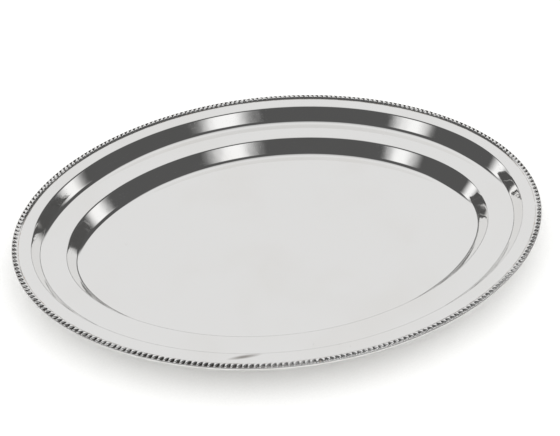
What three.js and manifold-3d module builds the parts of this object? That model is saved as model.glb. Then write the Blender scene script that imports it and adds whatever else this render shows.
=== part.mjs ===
// Oval two-step serving tray. Millimetres, +Z up. The origin is the centre of the underside
// of the base, +X runs along the long axis of the oval.
//
// The tray is one pressed sheet (floor, inner step, ledge, outer step, flat rim) with a plain
// edge band wrapped round the cut edge of the rim and a row of leaning beads soldered on top
// of it in two lengths, which meet at the middle of the front and the middle of the back.
import * as THREE from 'three';
import { mergeVertices } from 'three/addons/utils/BufferGeometryUtils.js';
import Module from 'manifold-3d';

const wasm = await Module();
wasm.setup();

// ---- driving dimensions -------------------------------------------------------------------
const HALF_LENGTH = 251.5;      // outermost edge, long half axis
const HALF_WIDTH = 176.5;       // outermost edge, short half axis
const QUARTER_DRAW = 0.008;     // how far the oval is drawn in at its four quarters (fraction)

const SHEET = 1.2;              // thickness of the pressed sheet
const FLOOR_Z = SHEET;          // upper face of the floor
const LEDGE_Z = 17.5;           // upper face of the ledge between the two steps
const RIM_Z = 32.9;             // upper face of the flat rim
const BEAD_TOP_Z = 35.3;        // top of the bead row

// Insets are measured square to the outermost edge.
const RIM_EDGE_IN = 2.5;        // cut edge of the sheet, inside the edge band
const OUTER_STEP_IN = 17.9;     // corner between the rim and the outer step
const OUTER_FOOT_IN = 24.6;     // corner between the outer step and the ledge
const INNER_STEP_IN = 49.1;     // corner between the ledge and the inner step
const INNER_FOOT_IN = 56.5;     // corner between the inner step and the floor
const FLOOR_RING_WIDTH = 12;    // floor facets outside the middle fan
const CREST_RADIUS = 2.4;       // upper face radius at the top corner of a step
const FOOT_RADIUS = 10;         // upper face radius at the foot of a step
const BEND_STEPS = 2;           // straight pieces per bend

const BEAD_IN = 1.4;            // outer side of the bead strips
const STRIP_WIDTH = 5.6;        // width of a bead strip across the rim
const CROWN_OUTER_SLOPE = 1.3;  // width of the slope outside the row of beads
const CROWN_INNER_SLOPE = 1.6;  // width of the slope inside the row of beads
const BEADS_PER_HALF = 138;     // beads on each of the two lengths
const BEAD_LEAN = 0.5;          // how far a bead leans across the strip, in bead pitches
const BEAD_DIP = 1.1;           // depth of the dip between two beads

const BAND_TOP_Z = 33.8;        // top of the plain edge band
const BAND_HEIGHT = 3.6;        // height of its rounded outer face
const BAND_UNDER_IN = 2.6;      // how far in under the rim that face curls
const BAND_LIP_IN = 6.9;        // how far its lower lip runs in under the sheet
const LIP_THICKNESS = 0.5;      // plain lips of the bead strips and of the edge band
const GAP = 0.3;                // clearance left between neighbouring pieces
const SOLDER_JOINT = 0.7;       // thickness of the solder between the two bead strips
const SOLDER_REACH = 1.1;       // width of the solder fillets
const SOLDER_RISE = 0.7;        // height of the solder fillets

const PLAIN_STEPS = 80;         // facets round the oval for the plain pieces

const POLISHED_PLATE = { color: 0xdcdcd8, roughness: 0.16, metalness: 1 };
const BRIGHT_BEADS = { color: 0xcfcfca, roughness: 0.24, metalness: 1 };
const GREY_SOLDER = { color: 0x9a9a98, roughness: 0.45, metalness: 1 };

// ---- the oval -----------------------------------------------------------------------------
// Outermost edge at oval angle t, with its unit inward normal.
function edgePoint(t) {
  const draw = 1 - QUARTER_DRAW * Math.sin(2 * t) ** 2;
  const drawRate = -2 * QUARTER_DRAW * Math.sin(4 * t);
  const dx = HALF_LENGTH * (drawRate * Math.cos(t) - draw * Math.sin(t));
  const dy = HALF_WIDTH * (drawRate * Math.sin(t) + draw * Math.cos(t));
  const speed = Math.hypot(dx, dy);
  return {
    x: HALF_LENGTH * draw * Math.cos(t),
    y: HALF_WIDTH * draw * Math.sin(t),
    inX: -dy / speed,
    inY: dx / speed,
  };
}

function insetPoint(t, inset) {
  const p = edgePoint(t);
  return [p.x + p.inX * inset, p.y + p.inY * inset];
}

// Oval angles that cut the curve at the given inset into equal lengths.
function evenAngles(count, inset) {
  const FINE = 7200;
  const lengths = [0];
  let [px, py] = insetPoint(0, inset);
  for (let i = 1; i <= FINE; i += 1) {
    const [x, y] = insetPoint((2 * Math.PI * i) / FINE, inset);
    lengths.push(lengths[i - 1] + Math.hypot(x - px, y - py));
    [px, py] = [x, y];
  }
  const angles = [];
  let k = 0;
  for (let i = 0; i <= count; i += 1) {
    const want = (lengths[FINE] * i) / count;
    while (k < FINE - 1 && lengths[k + 1] < want) k += 1;
    const part = (want - lengths[k]) / (lengths[k + 1] - lengths[k]);
    angles.push((2 * Math.PI * (k + part)) / FINE);
  }
  return angles;
}

// A section listed as [inset, z], turned into a ring that follows the oval. A corner at CENTRE
// sits on the middle of the tray. angleAt(step, corner) gives the oval angle of a section
// corner at a step round the ring; dropAt(step, corner) lowers that corner.
const CENTRE = Infinity;
const LATHE_RADIUS = 100;       // radius of the round ring before it is laid on the oval
function ovalRing(section, steps, angleAt, dropAt = () => 0) {
  const endsOnAxis = section[0][0] === CENTRE;
  const outline = endsOnAxis ? section : [...section, section[0]];
  const ring = new THREE.LatheGeometry(outline.map(([inset, z]) => (
    new THREE.Vector2(inset === CENTRE ? 0 : LATHE_RADIUS - inset, z))), steps);
  const pos = ring.attributes.position;
  for (let i = 0; i < pos.count; i += 1) {
    const step = Math.floor(i / outline.length) % steps;
    const corner = (i % outline.length) % section.length;
    const [inset, z] = section[corner];
    const [x, y] = inset === CENTRE ? [0, 0] : insetPoint(angleAt(step, corner), inset);
    pos.setXYZ(i, x, y, z - dropAt(step, corner));
  }
  return ring;
}

const plainAngle = (step) => (2 * Math.PI * step) / PLAIN_STEPS;
const plainRing = (section) => ovalRing(section, PLAIN_STEPS, plainAngle);

// ---- solids -------------------------------------------------------------------------------
function weld(geometry) {
  const bare = geometry.clone();
  bare.deleteAttribute('normal');
  bare.deleteAttribute('uv');
  return mergeVertices(bare, 1e-4);
}

function toSolid(geometry) {
  const welded = weld(geometry);
  const index = welded.index.array;
  const keep = [];
  for (let i = 0; i < index.length; i += 3) {
    const [a, b, c] = [index[i], index[i + 1], index[i + 2]];
    if (a !== b && b !== c && c !== a) keep.push(a, b, c);
  }
  const make = (tris) => new wasm.Manifold(new wasm.Mesh({
    numProp: 3,
    vertProperties: new Float32Array(welded.attributes.position.array),
    triVerts: new Uint32Array(tris),
  }));
  const solid = make(keep);
  if (solid.volume() > 0) return solid;
  const flipped = [];
  for (let i = 0; i < keep.length; i += 3) flipped.push(keep[i], keep[i + 2], keep[i + 1]);
  return make(flipped);
}

function toGeometry(solid) {
  const mesh = solid.getMesh();
  const geometry = new THREE.BufferGeometry();
  geometry.setAttribute('position', new THREE.BufferAttribute(mesh.vertProperties, 3));
  geometry.setIndex(new THREE.BufferAttribute(mesh.triVerts, 1));
  geometry.computeVertexNormals();
  return geometry;
}

const group = new THREE.Group();
group.name = 'serving_tray';

function addPiece(name, solid, finish) {
  const mesh = new THREE.Mesh(toGeometry(solid), new THREE.MeshStandardMaterial(finish));
  mesh.name = name;
  group.add(mesh);
}

// ---- pressed sheet ------------------------------------------------------------------------
// Rounds the corners of an open run of [inset, z] points; radii[i] belongs to points[i].
function roundedRun(points, radii) {
  const run = [points[0]];
  for (let i = 1; i < points.length - 1; i += 1) {
    const here = new THREE.Vector2(...points[i]);
    const back = new THREE.Vector2(...points[i - 1]).sub(here).normalize();
    const ahead = new THREE.Vector2(...points[i + 1]).sub(here).normalize();
    const half = Math.acos(back.dot(ahead)) / 2;
    const toCentre = back.clone().add(ahead).setLength(radii[i] / Math.sin(half));
    const centre = here.clone().add(toCentre);
    const reach = radii[i] / Math.tan(half);
    const from = here.clone().addScaledVector(back, reach).sub(centre).angle();
    const to = here.clone().addScaledVector(ahead, reach).sub(centre).angle();
    const sweep = Math.atan2(Math.sin(to - from), Math.cos(to - from));
    for (let k = 0; k <= BEND_STEPS; k += 1) {
      const spoke = from + (sweep * k) / BEND_STEPS;
      run.push([centre.x + radii[i] * Math.cos(spoke), centre.y + radii[i] * Math.sin(spoke)]);
    }
  }
  run.push(points[points.length - 1]);
  return run;
}

// The lower face of the sheet: every corner of the upper face moved square to it by SHEET.
function lowerFace(corners) {
  const below = (from, to) => {
    const along = new THREE.Vector2(to[0] - from[0], to[1] - from[1]).normalize();
    return new THREE.Vector2(along.y, -along.x);
  };
  return corners.map((corner, i) => {
    const last = corners.length - 1;
    const before = i > 0 ? below(corners[i - 1], corner) : below(corner, corners[1]);
    const after = i < last ? below(corner, corners[i + 1]) : before;
    const mitre = before.clone().add(after).normalize();
    mitre.multiplyScalar(SHEET / mitre.dot(before));
    return [corner[0] + mitre.x, corner[1] + mitre.y];
  });
}

const upperCorners = [
  [RIM_EDGE_IN, RIM_Z],
  [OUTER_STEP_IN, RIM_Z],
  [OUTER_FOOT_IN, LEDGE_Z],
  [INNER_STEP_IN, LEDGE_Z],
  [INNER_FOOT_IN, FLOOR_Z],
  [INNER_FOOT_IN + FLOOR_RING_WIDTH, FLOOR_Z],
];
const upperRun = roundedRun(upperCorners, [0, CREST_RADIUS, FOOT_RADIUS, CREST_RADIUS,
  FOOT_RADIUS, 0]);
const lowerRun = roundedRun(lowerFace(upperCorners), [0, CREST_RADIUS - SHEET,
  FOOT_RADIUS + SHEET, CREST_RADIUS - SHEET, FOOT_RADIUS + SHEET, 0]);

addPiece('tray_body', toSolid(plainRing([
  [CENTRE, FLOOR_Z],
  ...[...upperRun].reverse(),
  ...lowerRun,
  [CENTRE, 0],
])), POLISHED_PLATE);

// ---- edge band: a plain rounded strip lapped round the cut edge of the rim ----------------
const SHEET_SIDE_IN = RIM_EDGE_IN - GAP;        // face of the band towards the cut edge
const BEAD_SIDE_IN = BEAD_IN - GAP;             // face of the band towards the bead strip
const UNDER_SHEET_Z = RIM_Z - SHEET - GAP;      // top of the lip under the sheet
const BAND_FOOT_Z = BAND_TOP_Z - BAND_HEIGHT;

addPiece('edge_band', toSolid(plainRing([
  [SHEET_SIDE_IN, RIM_Z],
  [BEAD_SIDE_IN, RIM_Z],
  [BEAD_SIDE_IN, BAND_TOP_Z],
  [0.4 * BEAD_SIDE_IN, BAND_TOP_Z],
  [0, BAND_TOP_Z - 0.15 * BAND_HEIGHT],
  [0, BAND_TOP_Z - 0.4 * BAND_HEIGHT],
  [0.3 * BAND_UNDER_IN, BAND_TOP_Z - 0.8 * BAND_HEIGHT],
  [BAND_UNDER_IN, BAND_FOOT_Z],
  [BAND_LIP_IN, UNDER_SHEET_Z - LIP_THICKNESS],
  [BAND_LIP_IN, UNDER_SHEET_Z],
  [SHEET_SIDE_IN, UNDER_SHEET_Z],
])), POLISHED_PLATE);

// ---- bead strips --------------------------------------------------------------------------
const STRIP_FOOT_Z = RIM_Z + GAP;
const STRIP_END_IN = BEAD_IN + STRIP_WIDTH;
const OUTER_CROWN = 3;          // section corners that carry the beads
const INNER_CROWN = 4;
const stripSection = [
  [STRIP_END_IN, STRIP_FOOT_Z],
  [BEAD_IN, STRIP_FOOT_Z],
  [BEAD_IN, STRIP_FOOT_Z + LIP_THICKNESS],
  [BEAD_IN + CROWN_OUTER_SLOPE, BEAD_TOP_Z],
  [STRIP_END_IN - CROWN_INNER_SLOPE, BEAD_TOP_Z],
];
const isCrown = (corner) => corner === OUTER_CROWN || corner === INNER_CROWN;

// Two steps to a bead: dips on the even steps, crests on the odd ones. The dips at the middle
// of the front and of the back stand straight, and the beads lean away from them on both sides.
const stepCount = 4 * BEADS_PER_HALF;
const stepAngles = evenAngles(stepCount, BEAD_IN + STRIP_WIDTH / 2);
function leaningAngle(step, corner) {
  const middleAngle = stepAngles[step];
  if (!isCrown(corner) || step % BEADS_PER_HALF === 0) return middleAngle;
  const pitchAngle = stepAngles[step + 1] - stepAngles[step - 1];
  const side = Math.sign(Math.cos(middleAngle)) * (corner === OUTER_CROWN ? 1 : -1);
  return middleAngle + 0.5 * BEAD_LEAN * side * pitchAngle;
}
const beadDip = (step, corner) => (isCrown(corner) && step % 2 === 0 ? BEAD_DIP : 0);
const beadRing = toSolid(ovalRing(stripSection, stepCount, leaningAngle, beadDip));

// Blocks that part the ring at the middle of the front and of the back.
const BLOCK = 4 * HALF_LENGTH;
function block(width, x, y) {
  const box = new THREE.BoxGeometry(width, BLOCK, BLOCK);
  box.translate(x, y, 0);
  return toSolid(box);
}
const parting = SOLDER_JOINT / 2 + GAP;
for (const [name, side] of [['bead_strip_left', -1], ['bead_strip_right', 1]]) {
  const half = block(BLOCK, side * (BLOCK / 2 + parting), 0);
  addPiece(name, beadRing.intersect(half), BRIGHT_BEADS);
}

// ---- solder -------------------------------------------------------------------------------
const dippedSection = stripSection.map(([inset, z], corner) => (
  [inset, isCrown(corner) ? z - BEAD_DIP : z]));
const dippedRing = toSolid(plainRing(dippedSection));
for (const [name, side] of [['solder_joint_front', -1], ['solder_joint_back', 1]]) {
  const slice = block(SOLDER_JOINT, 0, side * (BLOCK / 2));
  addPiece(name, dippedRing.intersect(slice), GREY_SOLDER);
}

addPiece('solder_seam_rim', toSolid(plainRing([
  [STRIP_END_IN + GAP, RIM_Z + GAP],
  [STRIP_END_IN + GAP, RIM_Z + GAP + SOLDER_RISE],
  [STRIP_END_IN + GAP + SOLDER_REACH, RIM_Z + GAP],
])), GREY_SOLDER);

addPiece('solder_seam_under', toSolid(plainRing([
  [BAND_LIP_IN + GAP, UNDER_SHEET_Z],
  [BAND_LIP_IN + GAP + SOLDER_REACH, UNDER_SHEET_Z],
  [BAND_LIP_IN + GAP, UNDER_SHEET_Z - SOLDER_RISE],
])), GREY_SOLDER);

export default group;
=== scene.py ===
"""Looks of the oval two-step serving tray: polished silver plate in a pale studio.

Units are metres. The tray lies with its base on z = 0 and its long axis along X. Insets are
measured square to its outermost edge, in from the edge band.
"""
import math
import bpy
import numpy as np
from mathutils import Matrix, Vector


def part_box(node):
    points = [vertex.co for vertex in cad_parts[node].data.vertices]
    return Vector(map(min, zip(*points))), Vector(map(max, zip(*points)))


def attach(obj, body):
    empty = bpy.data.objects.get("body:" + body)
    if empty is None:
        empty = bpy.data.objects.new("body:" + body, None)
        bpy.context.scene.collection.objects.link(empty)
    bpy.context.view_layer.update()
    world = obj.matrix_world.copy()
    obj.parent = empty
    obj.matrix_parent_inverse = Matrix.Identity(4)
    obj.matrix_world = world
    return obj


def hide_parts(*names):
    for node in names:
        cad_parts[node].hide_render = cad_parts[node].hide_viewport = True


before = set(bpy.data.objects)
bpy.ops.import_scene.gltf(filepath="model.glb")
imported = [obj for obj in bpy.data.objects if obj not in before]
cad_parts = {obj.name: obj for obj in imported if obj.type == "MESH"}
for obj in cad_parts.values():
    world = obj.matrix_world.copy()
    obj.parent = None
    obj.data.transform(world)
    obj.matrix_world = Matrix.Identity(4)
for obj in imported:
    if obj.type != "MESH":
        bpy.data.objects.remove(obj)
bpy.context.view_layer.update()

MM = 0.001

# ---- sizes, from the frame and from the design --------------------------------------------
BODY_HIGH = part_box("tray_body")[1]
BAND_LOW, BAND_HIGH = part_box("edge_band")
STRIP_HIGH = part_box("bead_strip_right")[1]
SEAM_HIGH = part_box("solder_seam_under")[1]
HALF_LENGTH, HALF_WIDTH = BAND_HIGH[0], BAND_HIGH[1]
RIM_Z = BODY_HIGH[2]
BEAD_TOP_Z = STRIP_HIGH[2]
RIM_EDGE_IN = HALF_LENGTH - BODY_HIGH[0]
STRIP_SHIFT = 0.6 * MM          # the cast strips lie this much nearer to the edge than in CAD
BEAD_IN = HALF_LENGTH - STRIP_HIGH[0] - STRIP_SHIFT

QUARTER_DRAW = 0.008            # how far the oval is drawn in at its quarters (fraction)
SHEET = 1.2 * MM
LEDGE_Z = 17.5 * MM
# The steps lean a little more than in CAD.
OUTER_STEP_IN = 17.55 * MM
OUTER_FOOT_IN = 24.95 * MM
INNER_STEP_IN = 48.5 * MM
INNER_FOOT_IN = 57.1 * MM
CREST_RADIUS = 2.4 * MM
FOOT_RADIUS = 6 * MM
STRIP_WIDTH = 5.2 * MM
BEADS_PER_HALF = 138
GAP = 0.3 * MM

ROUND_STEPS = 720               # mesh steps round the oval on the plain pieces


# ---- the oval -----------------------------------------------------------------------------
def inset_points(angles, inset):
    """Points of the oval at the given oval angles, moved in by inset. Arrays of one shape."""
    draw = 1 - QUARTER_DRAW * np.sin(2 * angles) ** 2
    draw_rate = -2 * QUARTER_DRAW * np.sin(4 * angles)
    dx = HALF_LENGTH * (draw_rate * np.cos(angles) - draw * np.sin(angles))
    dy = HALF_WIDTH * (draw_rate * np.sin(angles) + draw * np.cos(angles))
    speed = np.hypot(dx, dy)
    x = HALF_LENGTH * draw * np.cos(angles) - dy / speed * inset
    y = HALF_WIDTH * draw * np.sin(angles) + dx / speed * inset
    return x, y


def even_angles(fractions, inset):
    """Oval angles at the given fractions of the length of the curve at an inset."""
    fine = np.linspace(0, 2 * math.pi, 14401)
    x, y = inset_points(fine, inset)
    lengths = np.concatenate([[0], np.cumsum(np.hypot(np.diff(x), np.diff(y)))])
    turns = np.floor(fractions)
    return np.interp((fractions - turns) * lengths[-1], lengths, fine) + turns * 2 * math.pi


def waves(x, y, length, seed):
    """Smooth bumps, about -1 to 1, of roughly the given wavelength."""
    rng = np.random.default_rng(seed)
    total = np.zeros(np.broadcast(x, y).shape)
    count = 9
    for _ in range(count):
        direction = rng.uniform(0, 2 * math.pi)
        phase = rng.uniform(0, 2 * math.pi)
        rate = 2 * math.pi / (length * rng.uniform(0.7, 1.5))
        total += np.sin(rate * (x * math.cos(direction) + y * math.sin(direction)) + phase)
    return total / math.sqrt(count)


# ---- mesh helpers -------------------------------------------------------------------------
def grid_mesh(name, x, y, z, wrap_rows, wrap_columns, caps=()):
    """A mesh of quads over equal 2-D arrays, closed round in rows and/or columns."""
    rows, columns = x.shape
    index = np.arange(rows * columns).reshape(rows, columns)
    down = np.roll(index, -1, axis=0)
    right = np.roll(index, -1, axis=1)
    both = np.roll(down, -1, axis=1)
    last_row = rows if wrap_rows else rows - 1
    last_column = columns if wrap_columns else columns - 1
    quads = np.stack([index, right, both, down], axis=-1)[:last_row, :last_column]
    faces = quads.reshape(-1, 4).tolist()
    faces += [index[row, ::step].tolist() for row, step in caps]
    mesh = bpy.data.meshes.new(name)
    points = np.stack([x, y, z], axis=-1).reshape(-1, 3)
    mesh.from_pydata(points.tolist(), [], faces)
    mesh.update()
    mesh.shade_smooth()
    return mesh


def add_piece(name, mesh, material, slot, *nodes):
    piece = bpy.data.objects.new(name, mesh)
    bpy.context.scene.collection.objects.link(piece)
    mesh.materials.append(material)
    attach(piece, "root")
    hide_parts(*nodes)
    return piece


def face_out(mesh):
    """Turns the faces of a closed mesh outwards."""
    mesh.calc_loop_triangles()
    count = len(mesh.loop_triangles)
    corners = np.empty(count * 3, np.int64)
    mesh.loop_triangles.foreach_get("vertices", corners)
    points = np.empty(len(mesh.vertices) * 3)
    mesh.vertices.foreach_get("co", points)
    a, b, c = points.reshape(-1, 3)[corners.reshape(-1, 3)].transpose(1, 0, 2)
    if (a * np.cross(b, c)).sum() < 0:
        mesh.flip_normals()


def rounded_run(corners, radii, bend_steps, stride):
    """An open run of (inset, z) corners with rounded bends and points along its straights."""
    runs = [np.array([corners[0]])]
    for before, here, after, radius in zip(corners, corners[1:], corners[2:], radii):
        here = np.array(here)
        back = np.array(before) - here
        ahead = np.array(after) - here
        back /= np.linalg.norm(back)
        ahead /= np.linalg.norm(ahead)
        half = math.acos(back @ ahead) / 2
        middle = (back + ahead) / np.linalg.norm(back + ahead)
        centre = here + middle * radius / math.sin(half)
        start = here + back * radius / math.tan(half) - centre
        end = here + ahead * radius / math.tan(half) - centre
        first = math.atan2(start[1], start[0])
        sweep = math.atan2(end[1], end[0]) - first
        sweep = math.atan2(math.sin(sweep), math.cos(sweep))
        spokes = first + sweep * np.linspace(0, 1, bend_steps + 1)
        runs.append(centre + radius * np.stack([np.cos(spokes), np.sin(spokes)], axis=-1))
    runs.append(np.array([corners[-1]]))
    points = [runs[0]]
    for run in runs[1:]:
        gap = run[0] - points[-1][-1]
        count = max(1, round(np.linalg.norm(gap) / stride))
        fractions = np.arange(1, count)[:, None] / count
        points += [points[-1][-1] + fractions * gap, run] if count > 1 else [run]
    return np.concatenate(points)


def lower_face(corners):
    """Corners of the lower face of the sheet, each moved square to the upper face by SHEET."""
    corners = np.array(corners)
    along = np.diff(corners, axis=0)
    along /= np.linalg.norm(along, axis=1)[:, None]
    below = np.stack([along[:, 1], -along[:, 0]], axis=-1)
    before = np.concatenate([below[:1], below])
    after = np.concatenate([below, below[-1:]])
    mitre = before + after
    mitre /= np.linalg.norm(mitre, axis=1)[:, None]
    return corners + mitre * SHEET / (mitre * before).sum(axis=1)[:, None]


# ---- pressed sheet ------------------------------------------------------------------------
FLOOR_RING_WIDTH = 12 * MM      # floor outside the scaled rings that fill its middle
FLOOR_RINGS = 36
END_SPREAD = (                  # how far in the sheet moves at the two ends, at insets
    (OUTER_STEP_IN - 8 * MM, 0),
    (OUTER_STEP_IN, -0.4 * MM),
    (OUTER_FOOT_IN, 0.4 * MM),
    (INNER_STEP_IN, -0.65 * MM),
    (INNER_FOOT_IN, 0.65 * MM),
    (INNER_FOOT_IN + FLOOR_RING_WIDTH, 0),
)
BEND_STEPS = 9
STRIDE = 2 * MM
WALL_WAVE = 0.035 * MM          # height of the unevenness left in the steps by hand polishing
WALL_WAVE_LENGTH = 34 * MM
FLAT_WAVE = 0.03 * MM           # and in the flat parts
FLAT_WAVE_LENGTH = 75 * MM


def make_tray_body(material):
    upper_corners = [
        (RIM_EDGE_IN, RIM_Z),
        (OUTER_STEP_IN, RIM_Z),
        (OUTER_FOOT_IN, LEDGE_Z),
        (INNER_STEP_IN, LEDGE_Z),
        (INNER_FOOT_IN, SHEET),
        (INNER_FOOT_IN + FLOOR_RING_WIDTH, SHEET),
    ]
    crest, foot = CREST_RADIUS, FOOT_RADIUS
    upper = rounded_run(upper_corners, (crest, foot, crest, foot), BEND_STEPS, STRIDE)
    lower = rounded_run(lower_face(upper_corners),
                        (crest - SHEET, foot + SHEET, crest - SHEET, foot + SHEET),
                        BEND_STEPS, STRIDE)
    section = np.concatenate([upper[::-1], lower])
    angles = np.linspace(0, 2 * math.pi, ROUND_STEPS, endpoint=False)[None, :]
    spread = np.interp(section[:, :1], *zip(*END_SPREAD)) * np.cos(angles) ** 2
    x, y = inset_points(angles, section[:, :1] + spread)
    z = np.broadcast_to(section[:, 1:], x.shape)

    shares = np.linspace(0, 1, FLOOR_RINGS, endpoint=False)[1:, None]
    middle_x, middle_y = x[:1] * shares, y[:1] * shares
    x = np.concatenate([middle_x, x, middle_x[::-1]])
    y = np.concatenate([middle_y, y, middle_y[::-1]])
    z = np.concatenate([np.full(middle_x.shape, SHEET), z, np.zeros(middle_x.shape)])

    flat = waves(x, y, FLAT_WAVE_LENGTH, seed=3)
    wall = waves(x, y, WALL_WAVE_LENGTH, seed=8)
    reach = np.hypot(x, y)
    x = x + x / reach * wall * WALL_WAVE
    y = y + y / reach * wall * WALL_WAVE
    z = z + (1 + flat) * FLAT_WAVE
    mesh = grid_mesh("tray_body_polished", x, y, z, False, True, caps=((0, -1), (-1, 1)))
    face_out(mesh)
    return add_piece("tray_body_polished", mesh, material, "polished_plate", "tray_body")


# ---- edge band ----------------------------------------------------------------------------
BAND_ARC_STEPS = 12
BAND_SHOULDER = (0.5 * MM, 0.5 * MM)    # rounding of its top edge: across and up
BAND_BELLY = (2.6 * MM, 2.1 * MM)       # rounding of its curl under the rim: across and down


def make_edge_band(material):
    sheet_side = RIM_EDGE_IN - GAP / 3
    bead_side = BEAD_IN - GAP / 3
    under_sheet_z = RIM_Z - SHEET - GAP / 3
    lip_in = HALF_LENGTH - SEAM_HIGH[0] - GAP
    turn = np.linspace(0, math.pi / 2, BAND_ARC_STEPS)
    shoulder = np.stack([BAND_SHOULDER[0] * (1 - np.sin(turn)),
                         BAND_HIGH[2] - BAND_SHOULDER[1] * (1 - np.cos(turn))], axis=-1)
    belly = np.stack([BAND_BELLY[0] * (1 - np.cos(turn)),
                      BAND_LOW[2] + BAND_BELLY[1] * (1 - np.sin(turn))], axis=-1)
    section = np.concatenate([
        [(sheet_side, RIM_Z), (bead_side, RIM_Z), (bead_side, BAND_HIGH[2])],
        shoulder,
        belly,
        [(lip_in, under_sheet_z - GAP), (lip_in, under_sheet_z), (sheet_side, under_sheet_z)],
    ])
    angles = np.linspace(0, 2 * math.pi, ROUND_STEPS, endpoint=False)[None, :]
    x, y = inset_points(angles, section[:, :1])
    z = section[:, 1:] + 0.5 * FLAT_WAVE * waves(x, y, WALL_WAVE_LENGTH, seed=5)
    mesh = grid_mesh("edge_band_polished", x, y, z, True, True)
    face_out(mesh)
    mesh.set_sharp_from_angle(angle=math.radians(50))
    return add_piece("edge_band_polished", mesh, material, "polished_plate", "edge_band")


# ---- bead strips --------------------------------------------------------------------------
STEPS_PER_BEAD = 20
CROSS_STEPS = 36
LIP_HEIGHT = 0.4 * MM           # plain outer lip above the foot of the strip
RIDGE_HEIGHT = 1.5 * MM         # ridge between the beads and the plain inner slope
RIDGE_AT = 3.6 * MM             # places across the strip, from its outer side
BEAD_TO = 4.1 * MM              # the beads end here
BEAD_NARROW = 0.38              # half width of a bead at its outer and inner end,
BEAD_FAT = 0.9                  # in half pitches
BEAD_LEAN = 0.5                 # lean across the strip, in bead pitches
BEAD_UNEVEN = 0.05              # unevenness of the beads' sizes and places, as a share
BEAD_ROUNDNESS = 0.7            # power of its round section: 0.5 is a full arc, 1 a parabola
BEAD_OUTER_TOP = 0.85           # height of its outer end, as a share of the inner end's
BEAD_BLUNT = (4, 2.4)           # bluntness of its outer and inner ends
STRIP_END_GAP = 0.012           # gap left at each end of a strip, in bead pitches
JOINT_SOFTENING = 1.6           # beads over which the lean fades out towards a joint


def strip_shelf(across):
    """Height of the plain strip under the beads, above its foot, at places across it."""
    outer = np.interp(across, [0, 0.5 * RIDGE_AT, RIDGE_AT],
                      [LIP_HEIGHT, LIP_HEIGHT, RIDGE_HEIGHT])
    down = np.clip((across - RIDGE_AT) / (STRIP_WIDTH - RIDGE_AT), 0, 1)
    return outer * (1 - down)


def make_bead_strip(name, side, material, node):
    """One length of beads, from the front joint to the back joint round one end."""
    rng = np.random.default_rng(11 if side > 0 else 12)
    sizes = 1 + BEAD_UNEVEN * rng.uniform(-1, 1, BEADS_PER_HALF)
    shifts = BEAD_UNEVEN * rng.uniform(-1, 1, BEADS_PER_HALF)
    places = np.arange(BEADS_PER_HALF * STEPS_PER_BEAD + 1) / STEPS_PER_BEAD
    places[0] += STRIP_END_GAP
    places[-1] -= STRIP_END_GAP
    places = places[:, None]
    across = STRIP_WIDTH * np.linspace(0, 1, CROSS_STEPS)[None, :]

    length_in_beads = 2 * BEADS_PER_HALF
    middle_in = BEAD_IN + STRIP_WIDTH / 2

    to_joint = np.minimum(places, BEADS_PER_HALF - places) / JOINT_SOFTENING
    share = np.clip(across / BEAD_TO, 0, 1)
    lean = BEAD_LEAN * np.clip(to_joint, 0, 1) * (share - 0.5)
    leaned = np.clip(places + side * lean, 0, BEADS_PER_HALF - 1e-6)
    bead = np.floor(leaned).astype(int)
    along = 2 * (leaned - bead - 0.5 - shifts[bead])

    half_width = BEAD_NARROW + (BEAD_FAT - BEAD_NARROW) * np.sin(0.5 * math.pi * share)
    round_off = np.clip(1 - (along / (half_width * sizes[bead])) ** 2, 0, 1) ** BEAD_ROUNDNESS
    foot_z = RIM_Z + GAP / 3
    top = (BEAD_TOP_Z - foot_z) * (0.5 + 0.5 * sizes[bead]) * (BEAD_OUTER_TOP + (1 - BEAD_OUTER_TOP) * share)
    blunt = np.where(share < 0.5, *BEAD_BLUNT)
    ends = np.sqrt(np.clip(1 - np.abs(2 * share - 1) ** blunt, 0, 1))
    shelf = strip_shelf(across)
    height = shelf + np.clip(top - shelf, 0, None) * ends * round_off

    start = -0.25 if side > 0 else 0.25
    fractions = start + places / length_in_beads + 0 * across
    angles = even_angles(fractions, middle_in)
    x, y = inset_points(angles, BEAD_IN + across)
    z = foot_z + height
    inner = [inset_points(angles[:, -1:], middle_in + STRIP_WIDTH / 2), foot_z]
    outer = [inset_points(angles[:, :1], BEAD_IN), foot_z]
    x = np.concatenate([outer[0][0], x, inner[0][0]], axis=1)
    y = np.concatenate([outer[0][1], y, inner[0][1]], axis=1)
    z = np.concatenate([np.full_like(z[:, :1], foot_z), z, np.full_like(z[:, :1], foot_z)], axis=1)
    mesh = grid_mesh(name, x, y, z, False, True, caps=((0, -1), (-1, 1)))
    face_out(mesh)

    # How deep a point lies in the dip between two beads, fading out at the inner end. The bead finish paints
    # the dips dark with it: tarnish and polish left in them, and painted shade.
    depth = (1 - round_off) * np.clip((1 - share) / 0.15, 0, 1)
    depth = np.pad(depth, ((0, 0), (1, 1)))
    recess = mesh.attributes.new("recess", "FLOAT", "POINT")
    recess.data.foreach_set("value", depth.reshape(-1).astype(np.float32))
    return add_piece(name, mesh, material, "bead_plate", node)


# ---- solder -------------------------------------------------------------------------------
SEAM_STEPS = 6


def make_seam(name, first_in, top_z, rise, reach, material, node):
    """A thin uneven fillet: a ring of solder in the corner at an inset, rising or hanging."""
    angles = np.linspace(0, 2 * math.pi, ROUND_STEPS, endpoint=False)[None, :]
    turn = np.linspace(0, math.pi / 2, SEAM_STEPS)
    hollow_in = first_in + reach * (1 - np.sin(turn))
    hollow_z = top_z + rise * (1 - np.cos(turn))
    section_in = np.concatenate([[first_in], hollow_in])[:, None]
    section_z = np.concatenate([[top_z], hollow_z])[:, None]
    x, y = inset_points(angles, section_in)
    uneven = 1 + 0.25 * waves(x, y, 9 * MM, seed=21)
    x, y = inset_points(angles, first_in + (section_in - first_in) * uneven)
    z = top_z + (section_z - top_z) * uneven
    mesh = grid_mesh(name, x, y, z, True, True)
    face_out(mesh)
    return add_piece(name, mesh, material, "solder", node)


JOINT_HALF_WIDTH = 0.75 * MM
JOINT_RISE = 0.35 * MM
JOINT_STEPS = 24


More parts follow.
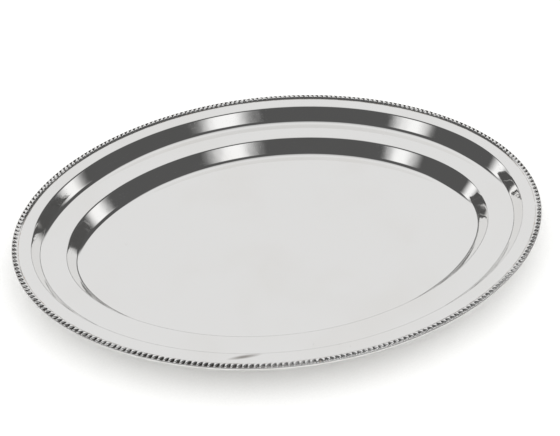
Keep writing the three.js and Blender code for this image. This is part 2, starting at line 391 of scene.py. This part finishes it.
def make_joint(name, side, material, node):
    """The lump of solder that fills the slot between two lengths of beads."""
    along = np.linspace(0.04, 0.96, JOINT_STEPS)[:, None]
    around = np.linspace(0, math.pi, JOINT_STEPS // 2)[None, :]
    across = STRIP_WIDTH * along
    taper = np.sqrt(1 - (2 * along - 1) ** 2)
    lumps = 1 + 0.18 * waves(across + 0 * around, around * MM, 2.5 * MM, seed=31 + side)
    width = JOINT_HALF_WIDTH * (0.55 + 0.45 * taper) * lumps
    height = (strip_shelf(across) + JOINT_RISE * taper) * lumps
    x = width * np.cos(around)
    y = side * (HALF_WIDTH - BEAD_IN - across) + 0 * x
    z = RIM_Z + GAP / 3 + height * np.sin(around)
    mesh = grid_mesh(name, x, y, z, False, True, caps=((0, -1), (-1, 1)))
    face_out(mesh)
    return add_piece(name, mesh, material, "solder", node)


# ---- material helpers ---------------------------------------------------------------------
def new_material(name):
    material = bpy.data.materials.new(name)
    material.use_nodes = True
    return material, material.node_tree, material.node_tree.nodes["Principled BSDF"]


def link(tree, value, socket):
    """Sets a socket to a number or colour, or links it to another socket."""
    if isinstance(value, bpy.types.NodeSocket):
        tree.links.new(value, socket)
    else:
        socket.default_value = value


def maths(tree, operation, first, second=0.0, clamp=False):
    node = tree.nodes.new("ShaderNodeMath")
    node.operation = operation
    node.use_clamp = clamp
    link(tree, first, node.inputs[0])
    link(tree, second, node.inputs[1])
    return node.outputs[0]


def ramp(tree, value, low, high, to_low=0.0, to_high=1.0):
    """A smooth step from to_low to to_high as value goes from low to high."""
    node = tree.nodes.new("ShaderNodeMapRange")
    node.interpolation_type = "SMOOTHSTEP"
    link(tree, value, node.inputs["Value"])
    for socket, number in (("From Min", low), ("From Max", high),
                           ("To Min", to_low), ("To Max", to_high)):
        node.inputs[socket].default_value = number
    return node.outputs["Result"]


def blend_colour(tree, factor, first, second):
    node = tree.nodes.new("ShaderNodeMix")
    node.data_type = "RGBA"
    link(tree, factor, node.inputs["Factor"])
    link(tree, first, node.inputs["A"])
    link(tree, second, node.inputs["B"])
    return node.outputs["Result"]


def place(tree, stretch=(1, 1, 1), turn=0.0):
    """Object coordinates in metres, turned about Z and then stretched."""
    coordinates = tree.nodes.new("ShaderNodeTexCoord")
    turned = tree.nodes.new("ShaderNodeMapping")
    turned.inputs["Rotation"].default_value = (0, 0, turn)
    tree.links.new(coordinates.outputs["Object"], turned.inputs["Vector"])
    stretched = tree.nodes.new("ShaderNodeMapping")
    stretched.inputs["Scale"].default_value = stretch
    tree.links.new(turned.outputs["Vector"], stretched.inputs["Vector"])
    return stretched.outputs["Vector"]


def heading(tree, direction):
    """Distance of a point from the middle of the tray, measured along a direction."""
    coordinates = tree.nodes.new("ShaderNodeTexCoord")
    node = tree.nodes.new("ShaderNodeVectorMath")
    node.operation = "DOT_PRODUCT"
    tree.links.new(coordinates.outputs["Object"], node.inputs[0])
    node.inputs[1].default_value = direction
    return node.outputs["Value"]


def noise(tree, vector, size, detail=2.0, roughness=0.5, distortion=0.0):
    """Noise whose blotches are about size metres wide."""
    node = tree.nodes.new("ShaderNodeTexNoise")
    tree.links.new(vector, node.inputs["Vector"])
    node.inputs["Scale"].default_value = 1 / size
    node.inputs["Detail"].default_value = detail
    node.inputs["Roughness"].default_value = roughness
    node.inputs["Distortion"].default_value = distortion
    return node.outputs["Fac"]


def bump(tree, height, distance, normal=None):
    node = tree.nodes.new("ShaderNodeBump")
    node.inputs["Distance"].default_value = distance
    tree.links.new(height, node.inputs["Height"])
    if normal is not None:
        tree.links.new(normal, node.inputs["Normal"])
    return node.outputs["Normal"]


def attribute(tree, name):
    node = tree.nodes.new("ShaderNodeAttribute")
    node.attribute_name = name
    return node.outputs["Fac"]


def scratches(tree, turn, spacing, share):
    """Fine straight scratches at one heading: 1 in a scratch and 0 beside it."""
    vector = place(tree, stretch=(1, 0.012, 1), turn=turn)
    grain = noise(tree, vector, spacing, detail=1.0)
    where = noise(tree, place(tree, turn=turn), 45 * MM, detail=1.0)
    line = ramp(tree, grain, share, share + 0.05)
    return maths(tree, "MULTIPLY", line, ramp(tree, where, 0.48, 0.62))


SILVER = (0.93, 0.925, 0.915, 1)
TARNISH = (0.72, 0.66, 0.58, 1)
SPECK = (0.25, 0.23, 0.21, 1)
STAIN_AT = (-0.062, -0.1568, 0.033)     # dark smudge on the front of the rim
STAIN_STRETCH = (55, 380, 100)          # its reach is one over these, in metres
# The edge band's two tones are both darker than SILVER: painted shade for the grey it mirrors under the rim.
BAND_SHADE_DARKER = (0.66, 0.65, 0.64, 1)
BAND_SHADE_LIGHTER = (0.74, 0.735, 0.73, 1)
# Dark of the dips between the beads: tarnish and polish left in them, and painted shade.
DIP_RESIDUE_AND_SHADE = (0.075, 0.067, 0.062, 1)
PLATED_SOLDER = (0.8, 0.78, 0.75, 1)
WORN_COPPER = (0.62, 0.46, 0.36, 1)
DIP_SHADE_FADE_SIDE = (0.3, -0.954, 0)    # the dark painted in the dips, partly shade, is weaker towards this side


def polished_plate():
    """Hand-polished silver plate: faint swirls and scratches, smears, specks, a warm bloom."""
    material, tree, shader = new_material("polished_plate_finish")
    smear = noise(tree, place(tree), 38 * MM, detail=4.0, distortion=0.6)
    bloom = noise(tree, place(tree, turn=0.7), 90 * MM, detail=3.0)
    lines = maths(tree, "MAXIMUM", scratches(tree, 0.3, 1.1 * MM, 0.66),
                  scratches(tree, 1.25, 0.9 * MM, 0.67))
    lines = maths(tree, "MAXIMUM", lines, scratches(tree, 2.3, 1.3 * MM, 0.68))

    cells = tree.nodes.new("ShaderNodeTexVoronoi")
    cells.inputs["Scale"].default_value = 1 / (11 * MM)
    tree.links.new(place(tree), cells.inputs["Vector"])
    chance = noise(tree, place(tree, turn=2.0), 14 * MM, detail=0.0)
    speck = ramp(tree, cells.outputs["Distance"], 0.02, 0.045, 1.0, 0.0)
    speck = maths(tree, "MULTIPLY", speck, ramp(tree, chance, 0.58, 0.66))

    aged = ramp(tree, bloom, 0.45, 0.75, 0.0, 0.1)
    colour = blend_colour(tree, aged, SILVER, TARNISH)
    colour = blend_colour(tree, maths(tree, "MULTIPLY", speck, 0.7), colour, SPECK)
    stain = tree.nodes.new("ShaderNodeVectorMath")
    stain.operation = "DISTANCE"
    tree.links.new(place(tree, stretch=STAIN_STRETCH), stain.inputs[0])
    stain.inputs[1].default_value = np.array(STAIN_AT) * STAIN_STRETCH
    stained = maths(tree, "MULTIPLY", ramp(tree, stain.outputs["Value"], 0.1, 1.0, 0.85, 0.0),
                    ramp(tree, smear, 0.3, 0.6, 0.7, 1.0))
    colour = blend_colour(tree, stained, colour, SPECK)
    tree.links.new(colour, shader.inputs["Base Color"])

    dull = ramp(tree, smear, 0.35, 0.7, 0.02, 0.07)
    dull = maths(tree, "ADD", dull, maths(tree, "MULTIPLY", lines, 0.05))
    tree.links.new(dull, shader.inputs["Roughness"])

    rolling = bump(tree, noise(tree, place(tree), 24 * MM, detail=2.0), 0.12 * MM)
    fine = bump(tree, lines, -0.004 * MM, rolling)
    tree.links.new(fine, shader.inputs["Normal"])
    shader.inputs["Metallic"].default_value = 1.0
    return material


def band_plate():
    """Plate on the edge band, painted darker than the other plate as painted shade, its tone varied at
    random.
    """
    material, tree, shader = new_material("band_plate_painted_shade")
    smear = noise(tree, place(tree), 12 * MM, detail=4.0, distortion=0.4)
    nicks = noise(tree, place(tree), 1.5 * MM, detail=2.0)
    # Two darker tones mixed at random: painted shade on the band.
    colour = blend_colour(tree, ramp(tree, smear, 0.3, 0.7), BAND_SHADE_DARKER, BAND_SHADE_LIGHTER)
    tree.links.new(colour, shader.inputs["Base Color"])
    tree.links.new(ramp(tree, smear, 0.3, 0.7, 0.2, 0.12), shader.inputs["Roughness"])
    tree.links.new(bump(tree, nicks, 0.02 * MM), shader.inputs["Normal"])
    shader.inputs["Metallic"].default_value = 1.0
    return material


def bead_plate():
    """Plate on the beads: bright worn crowns, dark dips: tarnish and polish in them, and painted shade."""
    material, tree, shader = new_material("bead_plate_finish")
    recess = attribute(tree, "recess")
    mottle = noise(tree, place(tree), 1.6 * MM, detail=3.0)
    depth = maths(tree, "MULTIPLY", recess, ramp(tree, mottle, 0.3, 0.6, 0.7, 1.0))
    # The dark painted in the dips, partly shade, grows weaker towards the front of the tray.
    worn = maths(tree, "MULTIPLY", heading(tree, DIP_SHADE_FADE_SIDE), ramp(tree, mottle, 0.2, 0.8, 0.8, 1.2))
    depth = maths(tree, "MULTIPLY", depth, ramp(tree, worn, 125 * MM, 165 * MM, 1.0, 0.65))
    # Where the dips are painted dark: tarnish and polish left in them, and painted shade.
    dip_residue_and_shade = ramp(tree, depth, 0.4, 0.9)
    colour = blend_colour(tree, dip_residue_and_shade, SILVER, DIP_RESIDUE_AND_SHADE)
    tree.links.new(colour, shader.inputs["Base Color"])
    tree.links.new(ramp(tree, depth, 0.1, 0.9, 0.075, 0.25), shader.inputs["Roughness"])
    tree.links.new(bump(tree, mottle, 0.02 * MM), shader.inputs["Normal"])
    shader.inputs["Metallic"].default_value = 1.0
    return material


def solder_finish():
    """Solder plated over with the rest: duller silver, worn to brown copper in patches."""
    material, tree, shader = new_material("solder_finish")
    patches = noise(tree, place(tree), 3 * MM, detail=3.0)
    colour = blend_colour(tree, ramp(tree, patches, 0.5, 0.72), PLATED_SOLDER, WORN_COPPER)
    tree.links.new(colour, shader.inputs["Base Color"])
    tree.links.new(ramp(tree, patches, 0.3, 0.7, 0.16, 0.34), shader.inputs["Roughness"])
    tree.links.new(bump(tree, patches, 0.06 * MM), shader.inputs["Normal"])
    shader.inputs["Metallic"].default_value = 1.0
    return material


# ---- studio -------------------------------------------------------------------------------
FLOOR_RADIUS = 4.0


def make_floor():
    mesh = bpy.data.meshes.new("studio_floor")
    turn = np.linspace(0, 2 * math.pi, 96, endpoint=False)
    rim = np.stack([FLOOR_RADIUS * np.cos(turn), FLOOR_RADIUS * np.sin(turn), 0 * turn], axis=-1)
    mesh.from_pydata(rim.tolist(), [], [list(range(len(turn)))])
    floor = bpy.data.objects.new("studio_floor", mesh)
    bpy.context.scene.collection.objects.link(floor)
    material, tree, shader = new_material("studio_paper")
    grain = noise(tree, place(tree), 2 * MM, detail=2.0)
    colour = blend_colour(tree, ramp(tree, grain, 0.3, 0.7),
                          (0.86, 0.86, 0.85, 1), (0.88, 0.88, 0.87, 1))
    tree.links.new(colour, shader.inputs["Base Color"])
    tree.links.new(bump(tree, grain, 0.05 * MM), shader.inputs["Normal"])
    shader.inputs["Roughness"].default_value = 0.8
    shader.inputs["Specular IOR Level"].default_value = 0.2
    mesh.materials.append(material)


# The studio as the tray mirrors it: a pale backdrop behind and overhead, and a dark front half
# with a row of equal soft windows. Azimuth 0 is straight in front of the tray and 90 is its right
# end. Azimuths and elevations are in degrees.
WINDOW_SPACING = 60.0
WINDOW_FIRST = 15.0             # azimuth of the window nearest to the front
WINDOW_HALF_WIDTH = 6.0
WINDOW_EDGE = 5.0               # softness of its edges, to each side
WINDOW_TOP = 22.0
FRONT_WIDTH = 115.0             # the dark front reaches this far round on both sides
FRONT_TOP = 66.0
FRONT_EDGE = 6.0
WINDOW_LIGHT = (1.0, 1.0, 1.0, 1)
FRONT_DARK = (0.09, 0.09, 0.09, 1)
OVERHEAD = (0.52, 0.52, 0.52, 1)
PALE = (0.78, 0.78, 0.78, 1)
OVERHEAD_PITCH = (66, 104)      # where the overhead grey passes into the backdrop, over the top
TENT = (1.55, 1.55, 1.55, 1)    # soft light from all round on the paper
BACKDROP = (1, 1, 1, 1)


def below(tree, value, limit, edge):
    """1 where value is under a limit and 0 over it, with a soft edge."""
    return ramp(tree, value, limit - edge, limit + edge, 1.0, 0.0)


def make_room():
    """The plain studio: seen in the tray, but not behind it, and even light on the paper."""
    world = bpy.data.worlds.new("studio")
    world.use_nodes = True
    tree = world.node_tree
    tree.nodes.clear()
    coordinates = tree.nodes.new("ShaderNodeTexCoord")
    axes = tree.nodes.new("ShaderNodeSeparateXYZ")
    tree.links.new(coordinates.outputs["Generated"], axes.inputs[0])
    x, y, z = axes.outputs
    to_degrees = math.degrees(1)
    forward = maths(tree, "MULTIPLY", y, -1.0)
    azimuth = maths(tree, "MULTIPLY", maths(tree, "ARCTAN2", x, forward), to_degrees)
    elevation = maths(tree, "MULTIPLY", maths(tree, "ARCSINE", z), to_degrees)
    pitch = maths(tree, "MULTIPLY", maths(tree, "ARCTAN2", z, forward), to_degrees)

    from_first = maths(tree, "SUBTRACT", azimuth, WINDOW_FIRST)
    to_window = maths(tree, "PINGPONG", from_first, WINDOW_SPACING / 2)
    window = maths(tree, "MULTIPLY", below(tree, to_window, WINDOW_HALF_WIDTH, WINDOW_EDGE),
                   below(tree, elevation, WINDOW_TOP, WINDOW_EDGE))
    front = blend_colour(tree, window, FRONT_DARK, WINDOW_LIGHT)
    pale = blend_colour(tree, ramp(tree, pitch, *OVERHEAD_PITCH), OVERHEAD, PALE)
    in_front = maths(tree, "MULTIPLY",
                     below(tree, maths(tree, "ABSOLUTE", azimuth), FRONT_WIDTH, FRONT_EDGE),
                     below(tree, elevation, FRONT_TOP, FRONT_EDGE))
    colour = blend_colour(tree, in_front, pale, front)

    path = tree.nodes.new("ShaderNodeLightPath")
    colour = blend_colour(tree, path.outputs["Is Diffuse Ray"], colour, TENT)
    colour = blend_colour(tree, path.outputs["Is Camera Ray"], colour, BACKDROP)
    background = tree.nodes.new("ShaderNodeBackground")
    tree.links.new(colour, background.inputs["Color"])
    output = tree.nodes.new("ShaderNodeOutputWorld")
    tree.links.new(background.outputs[0], output.inputs["Surface"])
    bpy.context.scene.world = world


CAMERA_AZIMUTH = -11.1          # degrees round from straight in front, towards the right end
CAMERA_ELEVATION = 45.5
CAMERA_DISTANCE = 1.2
CAMERA_AIM = (0.0057, 0.0328, -1.6 * MM)
CAMERA_LENS = 78.4


def make_camera():
    camera = bpy.data.cameras.new("camera")
    camera.lens = CAMERA_LENS
    camera.sensor_width = 36
    camera.clip_start = 0.01
    thing = bpy.data.objects.new("camera", camera)
    bpy.context.scene.collection.objects.link(thing)
    azimuth, elevation = math.radians(CAMERA_AZIMUTH), math.radians(CAMERA_ELEVATION)
    back = np.array([math.sin(azimuth) * math.cos(elevation),
                     -math.cos(azimuth) * math.cos(elevation), math.sin(elevation)])
    thing.location = np.array(CAMERA_AIM) + CAMERA_DISTANCE * back
    thing.rotation_euler = (math.pi / 2 - elevation, 0, azimuth)
    bpy.context.scene.camera = thing


# ---- the scene ----------------------------------------------------------------------------
plate = polished_plate()
band = band_plate()
beads = bead_plate()
solder = solder_finish()
make_tray_body(plate)
make_edge_band(band)
make_bead_strip("bead_strip_left_cast", -1, beads, "bead_strip_left")
make_bead_strip("bead_strip_right_cast", 1, beads, "bead_strip_right")
make_seam("solder_seam_rim_fillet", BEAD_IN + STRIP_WIDTH - 0.1 * MM, RIM_Z, 0.4 * MM, 0.5 * MM,
          solder, "solder_seam_rim")
make_seam("solder_seam_under_fillet", HALF_LENGTH - SEAM_HIGH[0] - GAP, RIM_Z - SHEET, -0.7 * MM,
          1.0 * MM, solder, "solder_seam_under")
make_joint("solder_joint_front_lump", -1, solder, "solder_joint_front")
make_joint("solder_joint_back_lump", 1, solder, "solder_joint_back")
make_floor()
make_room()
make_camera()
bpy.context.scene.view_settings.view_transform = "Standard"
